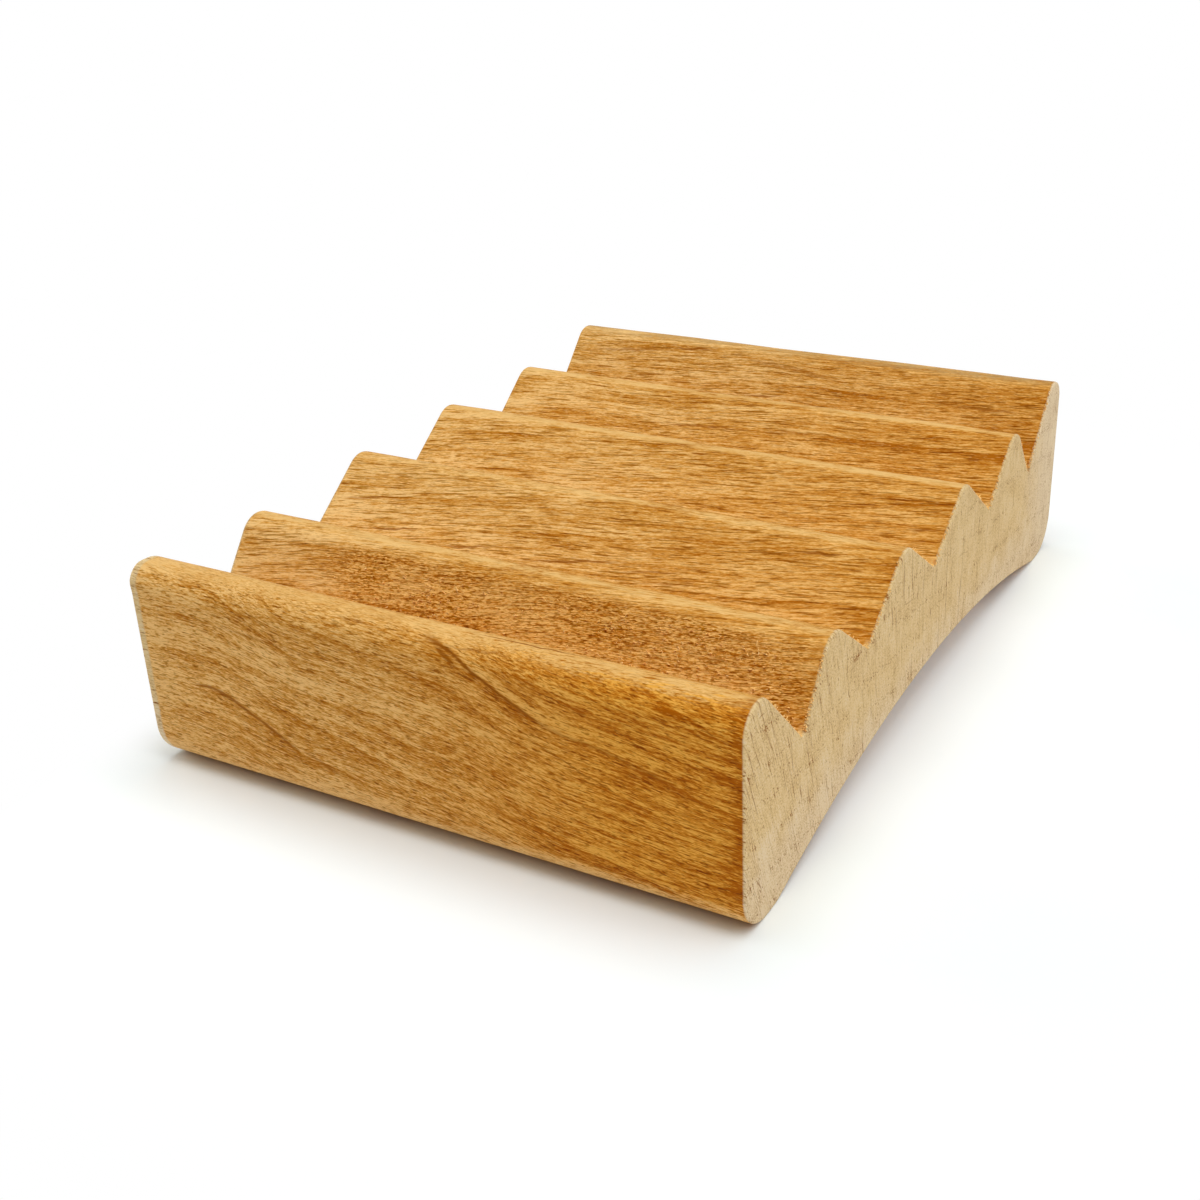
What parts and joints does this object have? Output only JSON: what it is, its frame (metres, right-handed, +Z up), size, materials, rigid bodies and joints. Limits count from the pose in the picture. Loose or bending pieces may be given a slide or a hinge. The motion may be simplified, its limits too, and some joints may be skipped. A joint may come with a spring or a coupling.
{
  "type": "soap shelf",
  "caption": "Free-standing wooden soap shelf with rounded ridges and drainage grooves on top and an arched, open underside.",
  "frame": {"origin": "on the table, under the middle of the block", "axes": "+X to the right along the grain and the grooves, +Y from the front face to the back face across the grooves, +Z up"},
  "size_m": [0.08, 0.11, 0.0268],
  "materials": {
    "oiled_hardwood": "milled hardwood with a thin coat of oil, satin along the grain and paler and drier on the sawn ends"
  },
  "bodies": {
    "root": {"shelf_block": "oiled_hardwood"}
  },
  "joints": []
}
